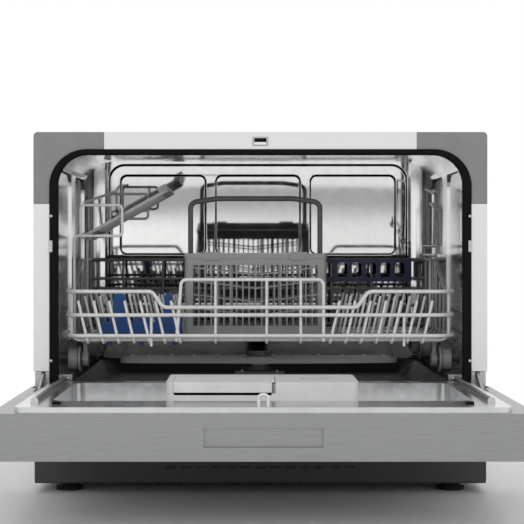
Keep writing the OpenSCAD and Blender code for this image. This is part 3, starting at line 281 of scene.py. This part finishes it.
# The glass rail is the comb's blue plastic painted darker, as painted shade at the rack's rear.
SHADED_LADDER_PLASTIC = moulded("blue_pp_glass_rail_painted_shade", "#0a1538", "#0f1c48", 0.8, (0.32, 0.42))
WHEEL_PLASTIC = moulded("grey_pom_roller", "#868787", "#919292", 0.6, (0.28, 0.38))
CARRIER_PLASTIC = moulded("grey_pp_carrier", "#7a7c7d", "#848687")
SHELF_PLASTIC = moulded("light_grey_pp_shelf", "#9d9e9e", "#a7a8a8", 0.8, (0.34, 0.44))
FRAME_WIRE = coated_wire("nylon_coated_wire_shelf", "#6f6e6c", "#7e7d7a")
BASKET_PLASTIC = moulded("grey_pp_basket", "#848484", "#8e8e8e", 0.8, (0.4, 0.52))
HANDLE_PLASTIC = moulded("dark_grey_pp_handle", "#464646", "#4e4e4e", 0.6, (0.3, 0.42))
DISPENSER_PLASTIC = moulded(
    "light_grey_abs_dispenser", "#cdcdcd", "#d6d6d6", 0.6, (0.5, 0.6), Specular_IOR_Level=DULL_SHINE
)
LID_PLASTIC = moulded(
    "light_grey_abs_lid", "#d2d2d2", "#dbdbdb", 0.6, (0.5, 0.6), Specular_IOR_Level=DULL_SHINE
)
PANEL_PLASTIC = moulded("graphite_abs_panel", "#2c2e31", "#34373a", 0.5, (0.18, 0.28), 0.02)
BUTTON_PLASTIC = moulded("silver_abs_button", "#b3b5b7", "#bfc1c3", 0.4, (0.24, 0.34), 0.02)
BOARD_RESIN = moulded("green_solder_mask", "#1b5233", "#23633f", 0.4, (0.3, 0.4), 0.02)
PUMP_PLASTIC = moulded("dark_pp_pump", "#47494c", "#505356")
VALVE_PLASTIC = moulded("white_nylon_valve", "#dfe0e1", "#e9eaeb")
SUMP_PLASTIC = moulded("grey_pp_sump", "#868889", "#909293")
PIN_STEEL = plated_steel("bright_steel_pin", "#c0c2c4", "#d0d2d4", (0.2, 0.3))
HOOK_STEEL = plated_steel("bright_steel_hook", "#cfd0d1", "#dcddde", (0.16, 0.26))
FILTER_STEEL = perforated_stainless("perforated_stainless_filter", 2.4)
FINISH = {
    "base_tray": BASE_PLASTIC,
    "cabinet_wrap": CABINET_PAINT,
    "rear_panel": ZINC_SHEET,
    "front_frame": FRONT_STEEL,
    "corner_covers": COVER_PLASTIC,
    "tub_wrap": TUB_STEEL,
    "tub_back": BACK_STEEL,
    "tub_floor": FLOOR_PLASTIC,
    "door_gasket": SEAL_RUBBER,
    "sill_seal": SEAL_RUBBER,
    "latch_bezel": BEZEL_PLASTIC,
    "latch_catch": DARK_PLASTIC,
    "plinth": TOE_PLASTIC,
    "feet": FOOT_RUBBER,
    "hinge_brackets": ZINC_HINGE,
    "hinge_pins": PIN_STEEL,
    "door_springs": SPRING_STEEL,
    "sump": SUMP_PLASTIC,
    "fine_filter": FILTER_STEEL,
    "circulation_pump": PUMP_PLASTIC,
    "drain_pump": PUMP_PLASTIC,
    "heater": PIN_STEEL,
    "inlet_valve": VALVE_PLASTIC,
    "drain_spigot": NUT_PLASTIC,
    "cord_gland": BASE_PLASTIC,
    "rail_ends": RAIL_PLASTIC,
    "spray_hub": DARK_PLASTIC,
    "filter_cup": DARK_PLASTIC,
    "spray_arm": ARM_PLASTIC,
    "spray_nut": NUT_PLASTIC,
    "rack_floor": SHADED_FLOOR_WIRE,
    "rack_front": FRONT_WIRE,
    "rack_rear": SHADED_REAR_WIRE,
    "rack_side_left": SHADED_SIDE_WIRE,
    "rack_side_right": SHADED_SIDE_WIRE,
    "plate_tines": FRONT_WIRE,
    "shelf_hangers": FRONT_WIRE,
    "plate_comb": COMB_PLASTIC,
    "glass_rail": SHADED_LADDER_PLASTIC,
    "wheel_carriers": CARRIER_PLASTIC,
    "wheel_front_left": WHEEL_PLASTIC,
    "wheel_front_right": WHEEL_PLASTIC,
    "wheel_rear_left": WHEEL_PLASTIC,
    "wheel_rear_right": WHEEL_PLASTIC,
    "cup_shelf_left": SHELF_PLASTIC,
    "cup_shelf_right": FRAME_WIRE,
    "cutlery_basket": BASKET_PLASTIC,
    "cutlery_handle": HANDLE_PLASTIC,
    "door_panel": DOOR_STEEL,
    "door_liner": LINER_STEEL,
    "control_panel": PANEL_PLASTIC,
    "control_board": BOARD_RESIN,
    "hinge_arms": ZINC_HINGE,
    "latch_hook": HOOK_STEEL,
    "dispenser_body": DISPENSER_PLASTIC,
    "dispenser_lid": LID_PLASTIC,
    "rinse_cap": BEZEL_PLASTIC,
    "power_button": BUTTON_PLASTIC,
    "program_button": BUTTON_PLASTIC,
    "start_button": BUTTON_PLASTIC,
}


def finish_with(piece, material):
    """Gives piece this one finish."""
    piece.data.materials.clear()
    piece.data.materials.append(material)


for node, material in FINISH.items():
    finish_with(nodes[node], material)


# ---------------------------------------------------------------- shaping

CORNER = 35  # degrees; a sharper edge is rounded and shaded as one
FLAT = 0.5  # degrees; faces that meet at less are one face
WELD = 0.000002  # points that lie closer are one point
ROUND_STEPS = 3  # faces across a rounded edge


def only(piece):
    """Makes piece the one selected and active object."""
    bpy.ops.object.select_all(action="DESELECT")
    piece.select_set(True)
    bpy.context.view_layer.objects.active = piece


def edit(piece, *steps):
    """Runs mesh steps on the whole of piece in edit mode."""
    only(piece)
    bpy.ops.object.mode_set(mode="EDIT")
    bpy.ops.mesh.select_all(action="SELECT")
    for step in steps:
        step()
    bpy.ops.object.mode_set(mode="OBJECT")


def modified(piece, kind, **settings):
    """Adds a modifier to piece and applies it."""
    modifier = piece.modifiers.new(kind.lower(), kind)
    for key, value in settings.items():
        setattr(modifier, key, value)
    only(piece)
    bpy.ops.object.modifier_apply(modifier=modifier.name)


def smooth(piece):
    """Shades piece smooth, but for its corners."""
    only(piece)
    bpy.ops.object.shade_smooth_by_angle(angle=math.radians(CORNER))


def dressed(node, round_mm):
    """A copy of a CAD node with its seams merged and its sharp edges rounded off."""
    source = nodes[node]
    piece = source.copy()
    piece.data = source.data.copy()
    piece.name = node + "_finished"
    piece.parent = None
    for key in list(piece.keys()):
        del piece[key]
    bpy.context.scene.collection.objects.link(piece)
    only(piece)
    bpy.ops.mesh.customdata_custom_splitnormals_clear()
    edit(
        piece,
        lambda: bpy.ops.mesh.remove_doubles(threshold=WELD),
        lambda: bpy.ops.mesh.dissolve_limited(angle_limit=math.radians(FLAT)),
    )
    modified(
        piece,
        "BEVEL",
        width=round_mm * MM,
        segments=ROUND_STEPS,
        limit_method="ANGLE",
        angle_limit=math.radians(CORNER),
        use_clamp_overlap=node != FULL_ROUND,
    )
    smooth(piece)
    modified(piece, "WEIGHTED_NORMAL", weight=100, keep_sharp=True)
    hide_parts(node)
    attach(piece, body_of[node])
    return piece


# Millimetres of round on each node's edges.
ROUNDED = {
    "front_frame": 0.5,
    "corner_covers": 0.6,
    "door_gasket": 1.6,
    "tub_wrap": 1.6,
    "tub_back": 2.0,
    "cabinet_wrap": 0.5,
    "latch_bezel": 0.5,
    "rail_ends": 0.8,
    "spray_arm": 1.0,
    "door_panel": 1.0,
    "door_liner": 0.5,
    "dispenser_body": 1.2,
    "dispenser_lid": 0.7,
    "rinse_cap": 0.8,
    "control_panel": 0.5,
    "plate_comb": 0.7,
    "glass_rail": 0.8,
    "cup_shelf_left": 0.7,
    "base_tray": 1.0,
    "hinge_arms": 0.4,
    "hinge_brackets": 0.4,
    "power_button": 0.5,
    "program_button": 0.5,
    "start_button": 0.5,
}

# The pressed back wall, whose rounds may run past the short edges of its corners.
FULL_ROUND = "tub_back"

finished = {node: dressed(node, radius) for node, radius in ROUNDED.items()}

# ---------------------------------------------------------------- press lines of the tub, with painted dark reflections on their slopes

SLOPE = 0.94  # a face that looks less straight ahead than this is the slope of a step
X, Y = 0, 1


def paint_dark_reflection(piece, axis, low, high):
    """Gives the slopes of a pressed panel's steps a dark steel, a painted reflection of the tub's dark
    corners.

    The panel faces along axis, and its steps lie between low and high.
    """
    piece.data.materials.append(PAINTED_REFLECTION_STEEL)
    for face in piece.data.polygons:
        inside = all(a < c < b for a, b, c in zip(low, high, face.center))
        if inside and abs(face.normal[axis]) < SLOPE:
            face.material_index = 1


paint_dark_reflection(finished["tub_back"], Y, (-0.245, FRONT, 0.15), (0.245, FRONT + 0.4, ROOF - 0.014))
for side in (-1, 1):
    near, far = sorted((side * 0.2595, side * 0.2665))
    paint_dark_reflection(finished["tub_wrap"], X, (near, FRONT + 0.04, 0.17), (far, FRONT + 0.356, ROOF - 0.03))


# ---------------------------------------------------------------- small trim

OUT = (0, -1, 0)
UP = (0, 0, 1)


def settled(piece):
    """Puts a new piece's place and size into its mesh."""
    only(piece)
    bpy.ops.object.transform_apply(location=True, rotation=True, scale=True)


def rounded_block(name, low, high, round_mm):
    """A block between two corners, in metres, with all its edges rounded."""
    bpy.ops.object.select_all(action="DESELECT")
    middle = [(a + b) / 2 for a, b in zip(low, high)]
    bpy.ops.mesh.primitive_cube_add(size=1, location=middle)
    piece = bpy.context.object
    piece.name = name
    piece.scale = [b - a for a, b in zip(low, high)]
    settled(piece)
    edit(piece, lambda: bpy.ops.mesh.bevel(offset=round_mm * MM, segments=ROUND_STEPS, affect="EDGES"))
    return piece


def domed_head(name, centre, radius_mm, height_mm, facing=OUT):
    """A low round head with a softened rim, standing out towards the user, or up."""
    bpy.ops.object.select_all(action="DESELECT")
    turn = (math.pi / 2, 0, 0) if facing == OUT else (0, 0, 0)
    bpy.ops.mesh.primitive_cylinder_add(
        vertices=32, radius=radius_mm * MM, depth=height_mm * MM, location=centre, rotation=turn
    )
    piece = bpy.context.object
    piece.name = name
    settled(piece)
    rim = min(radius_mm, height_mm) * 0.45 * MM
    modified(piece, "BEVEL", width=rim, segments=4, limit_method="ANGLE", angle_limit=0.9)
    return piece


def sink(piece, direction, rim_mm, depth_mm):
    """Insets the largest face that looks along direction and presses it in."""
    way = Vector(direction)
    faces = [face for face in piece.data.polygons if face.normal.dot(way) > 0.99]
    widest = max(faces, key=lambda face: face.area).index
    edit(piece, lambda: bpy.ops.mesh.select_all(action="DESELECT"))
    for face in piece.data.polygons:
        face.select = face.index == widest
    bpy.ops.object.mode_set(mode="EDIT")
    bpy.ops.mesh.select_mode(type="FACE")
    bpy.ops.mesh.inset(thickness=rim_mm * MM, depth=-depth_mm * MM)
    bpy.ops.object.mode_set(mode="OBJECT")


def fitted(piece, material, body):
    """Shades, finishes and hangs a new piece on its body."""
    smooth(piece)
    finish_with(piece, material)
    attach(piece, body)


def seal_clips():
    """Two pale clips that hold the seal in its groove, and the small studs above and below them."""
    clip_low, clip_high = 0.2925, 0.3065
    stud_heights = (0.336, 0.161)
    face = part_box("door_gasket")[0][1]
    for side, mark in SIDES:
        x0, x1 = sorted((side * 251.6 * MM, side * 256.2 * MM))
        clip = rounded_block(
            "seal_clip_" + mark, (x0, face - 0.8 * MM, clip_low), (x1, face + 2.5 * MM, clip_high), 0.7
        )
        sink(clip, OUT, 0.9, 0.5)
        fitted(clip, CLIP_PLASTIC, "cabinet")
        for height in stud_heights:
            name = f"seal_stud_{mark}_{round(height * 1000)}"
            stud = domed_head(name, (side * 253.4 * MM, face, height), 1.7, 1.6)
            fitted(stud, CLIP_PLASTIC, "cabinet")


def door_buffers():
    """Black rubber pads that the closed door rests on, near the liner's far corners."""
    near, far = FRONT - 0.309, FRONT - 0.301
    for side, mark in SIDES:
        x0, x1 = sorted((side * 208 * MM, side * 216.5 * MM))
        pad = rounded_block("door_buffer_" + mark, (x0, near, RIM - 0.4 * MM), (x1, far, RIM + 2.4 * MM), 0.6)
        sink(pad, UP, 1.2, 0.6)
        fitted(pad, SEAL_RUBBER, "door")


def lid_gap_shade_strip():
    """A black rubber strip under the dispenser lid's front lip: painted shade, standing in for the shadow in
    the gap between the lip and the body.
    """
    low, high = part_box("dispenser_lid")
    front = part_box("dispenser_body")[0][1]
    strip = rounded_block(
        "lid_gap_shade_strip",
        (low[0] + 0.8 * MM, front - 0.25 * MM, low[2] - 2.9 * MM),
        (high[0] - 3.4 * MM, front + 2 * MM, low[2] - 0.35 * MM),
        0.2,
    )
    sink(strip, OUT, 0.4, 0.1)
    # The gap's painted shade takes the seal's black rubber.
    fitted(strip, SEAL_RUBBER, "door")


def rail_screws():
    """The two screws that hold the roller rails' ends, at the tub's front corners."""
    low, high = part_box("rail_ends")
    for side, mark in SIDES:
        place = (side * 234.6 * MM, low[1] - 0.2 * MM, (low[2] + high[2]) / 2)
        head = domed_head("rail_screw_" + mark, place, 2.3, 1.5)
        sink(head, OUT, 0.9, 0.6)
        fitted(head, PIN_STEEL, "cabinet")


def filter_grip():
    """The filter's black grip: a plate wider on top, between two slanted struts on the cup's rim."""
    low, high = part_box("filter_cup")
    middle = (low[1] + high[1]) / 2
    foot = high[2] - 9 * MM
    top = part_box("spray_arm")[0][2] - 1.2 * MM
    upper = top - 2 * MM
    widening = 1.28
    slant = 4.5 * MM
    plate = rounded_block(
        "filter_grip", (-14.5 * MM, middle - 2 * MM, foot), (14.5 * MM, middle + 2 * MM, top), 0.6
    )
    for point in plate.data.vertices:
        if point.co.z > upper:
            point.co.x *= widening
    sink(plate, OUT, 2.2, 0.8)
    fitted(plate, GRIP_PLASTIC, "filter")
    for side, mark in SIDES:
        x0, x1 = sorted((side * 17 * MM, side * 19.4 * MM))
        strut = rounded_block(
            "filter_strut_" + mark, (x0, middle - 1.6 * MM, foot), (x1, middle + 1.6 * MM, top), 0.5
        )
        for point in strut.data.vertices:
            if point.co.z > upper:
                point.co.x += side * slant
        fitted(strut, RAIL_PLASTIC, "filter")


# Millimetres from the arm's hub: along the wings, then across them.
NOZZLES = (
    (-168, 3),
    (-146, -5),
    (-117, 4),
    (-86, -6),
    (-54, 5),
    (48, -5),
    (79, 6),
    (110, -4),
    (140, 5),
    (166, -3),
)


def arm_nozzles():
    """The spray arm's nozzles: one low dome with a sunk eye, copied along both wings."""
    low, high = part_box("spray_arm")
    middle = (low[1] + high[1]) / 2
    first = domed_head("spray_nozzle_1", (0, 0, high[2] + 0.4 * MM), 2.6, 2.4, UP)
    sink(first, UP, 0.9, 0.9)
    smooth(first)
    finish_with(first, NOZZLE_PLASTIC)
    first_x, first_y = NOZZLES[0]
    first.location = (first_x * MM, middle + first_y * MM, 0)
    settled(first)
    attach(first, "spray")
    for number, (x, y) in enumerate(NOZZLES[1:], 2):
        nozzle = first.copy()
        nozzle.data = first.data.copy()
        nozzle.name = f"spray_nozzle_{number}"
        bpy.context.scene.collection.objects.link(nozzle)
        nozzle.location = ((x - first_x) * MM, (y - first_y) * MM, 0)
        settled(nozzle)
        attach(nozzle, "spray")


seal_clips()
door_buffers()
lid_gap_shade_strip()
rail_screws()
filter_grip()
arm_nozzles()


# ---------------------------------------------------------------- studio and camera

CAMERA_OUT = 2.0  # from the camera to the frame's plane
CAMERA_X = -0.018  # where the picture's lines that run inwards meet
EYE = 0.295  # the camera's height
CENTRE_X = 0.00194  # what stands in the middle of the picture
HORIZON_ROW = 250  # the picture's row at the camera's height
FRAME_PIXELS = 524
LENS = 113.4  # millimetres, as is the sensor
SENSOR = 36


def soft_box(name, place, aim, width, height, watts):
    """A rectangular area lamp that faces aim and doesn't show in reflections."""
    lamp = bpy.data.lights.new(name, "AREA")
    lamp.shape = "RECTANGLE"
    lamp.size = width
    lamp.size_y = height
    lamp.energy = watts
    holder = bpy.data.objects.new(name, lamp)
    holder.location = place
    holder.rotation_euler = (Vector(aim) - Vector(place)).to_track_quat("-Z", "Y").to_euler()
    holder.visible_glossy = False
    bpy.context.scene.collection.objects.link(holder)


def studio_world():
    """White behind the object and in its reflections; a dimmer even light on everything else."""
    world = bpy.data.worlds.new("studio")
    world.use_nodes = True
    bpy.context.scene.world = world
    tree = world.node_tree
    tree.nodes.clear()
    path = add(tree, "ShaderNodeLightPath")
    mirror = add(
        tree,
        "ShaderNodeMath",
        links={0: path.outputs["Is Glossy Ray"], 1: path.outputs["Is Transmission Ray"]},
        operation="MAXIMUM",
    )
    seen = add(
        tree,
        "ShaderNodeMath",
        links={0: path.outputs["Is Camera Ray"], 1: mirror.outputs[0]},
        operation="MAXIMUM",
    )
    ambient = add(tree, "ShaderNodeBackground", {"Color": linear("#ffffff"), "Strength": 0.45})
    white = add(tree, "ShaderNodeBackground", {"Color": linear("#ffffff"), "Strength": 1.0})
    mix = add(
        tree,
        "ShaderNodeMixShader",
        links={0: seen.outputs[0], 1: ambient.outputs[0], 2: white.outputs[0]},
    )
    add(tree, "ShaderNodeOutputWorld", links={"Surface": mix.outputs[0]})


def studio_floor():
    """A pale round floor that fades to white away from the object, so no edge or horizon shows."""
    bpy.ops.object.select_all(action="DESELECT")
    bpy.ops.mesh.primitive_circle_add(vertices=96, radius=3.0, fill_type="NGON", location=(0, 0, 0))
    floor = bpy.context.object
    floor.name = "studio_floor"
    material, tree, shader = new_material("studio_floor_paper", Roughness=0.9)
    shader.inputs["Base Color"].default_value = linear("#f4f4f3")
    place = add(tree, "ShaderNodeTexCoord")
    reach = add(tree, "ShaderNodeVectorMath", links={0: place.outputs["Object"]}, operation="LENGTH")
    fade = add(
        tree,
        "ShaderNodeMapRange",
        {"From Min": 0.45, "From Max": 1.0, "To Min": 0.0, "To Max": 1.0},
        {"Value": reach.outputs["Value"]},
    )
    path = add(tree, "ShaderNodeLightPath")
    seen = add(
        tree,
        "ShaderNodeMath",
        links={0: path.outputs["Is Camera Ray"], 1: fade.outputs["Result"]},
        operation="MULTIPLY",
    )
    white = add(tree, "ShaderNodeEmission", {"Color": linear("#ffffff"), "Strength": 1.0})
    mix = add(
        tree,
        "ShaderNodeMixShader",
        links={0: seen.outputs[0], 1: shader.outputs["BSDF"], 2: white.outputs["Emission"]},
    )
    output = next(node for node in tree.nodes if node.type == "OUTPUT_MATERIAL")
    tree.links.new(mix.outputs["Shader"], output.inputs["Surface"])
    finish_with(floor, material)


def front_camera():
    """A long lens straight ahead of the opening, shifted to the picture's middle and horizon."""
    camera = bpy.data.cameras.new("front_camera")
    camera.lens = LENS
    camera.sensor_width = SENSOR
    view_width = CAMERA_OUT * SENSOR / LENS
    camera.shift_x = (CENTRE_X - CAMERA_X) / view_width
    camera.shift_y = (HORIZON_ROW - FRAME_PIXELS / 2) / FRAME_PIXELS
    camera.clip_end = 20
    holder = bpy.data.objects.new("front_camera", camera)
    holder.location = (CAMERA_X, FRONT - CAMERA_OUT, EYE)
    holder.rotation_euler = (math.radians(90), 0, 0)
    bpy.context.scene.collection.objects.link(holder)
    bpy.context.scene.camera = holder


studio_world()
studio_floor()
soft_box("key_box", (-0.7, -2.0, 0.9), (0, 0, 0.25), 1.2, 1.0, 14)
soft_box("fill_box", (1.1, -1.9, 0.7), (0, 0, 0.25), 1.2, 1.2, 8)
soft_box("top_box", (0, 0.1, 1.9), (0, 0, 0.3), 1.6, 1.4, 5)
soft_box("rear_box", (0.3, 1.9, 1.3), (0, 0, 0.25), 1.4, 1.0, 12)
front_camera()
bpy.context.scene.view_settings.view_transform = "Standard"
# Light runs round the tub's polished corners in many short bounces.
bpy.context.scene.cycles.glossy_bounces = 12
